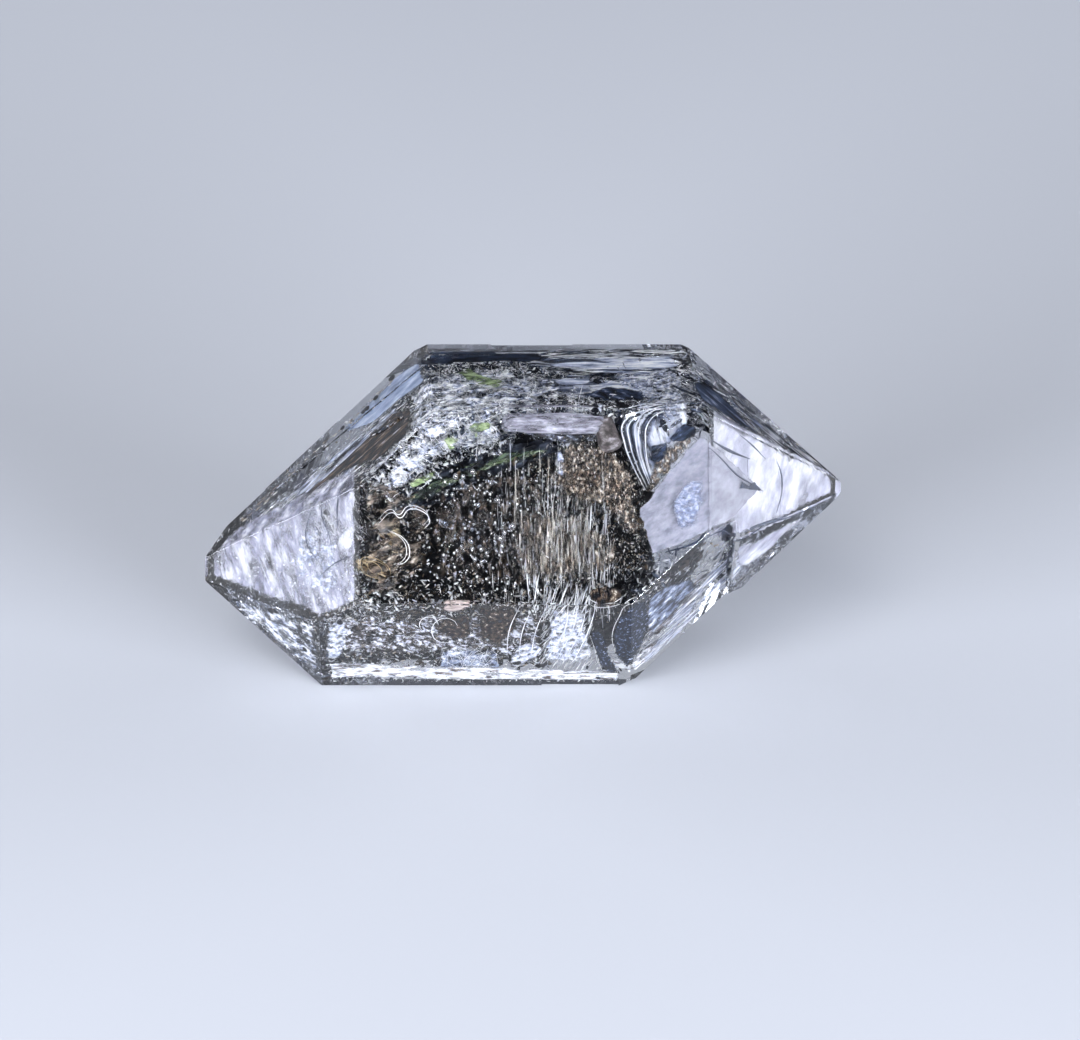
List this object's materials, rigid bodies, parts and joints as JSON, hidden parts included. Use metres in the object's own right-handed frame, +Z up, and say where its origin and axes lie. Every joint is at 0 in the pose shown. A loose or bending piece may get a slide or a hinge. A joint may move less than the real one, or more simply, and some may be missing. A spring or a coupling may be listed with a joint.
{
  "type": "herkimer diamond",
  "caption": "Clear doubly terminated quartz crystal: short six-sided prism with a point at each end and shallow growth steps, lying on a prism face.",
  "frame": {"origin": "under the middle of the crystal's box, on the surface that it rests on", "axes": "+X along the crystal's c axis towards the end with the growth terrace, +Z up, -Y towards the broad front face"},
  "size_m": [0.024, 0.0118, 0.0116],
  "materials": {
    "quartz": "clear, bright natural crystal faces with fine growth lines; veils, bubbles, brown films and black specks inside"
  },
  "bodies": {
    "root": {"quartz_crystal": "quartz"}
  },
  "joints": []
}
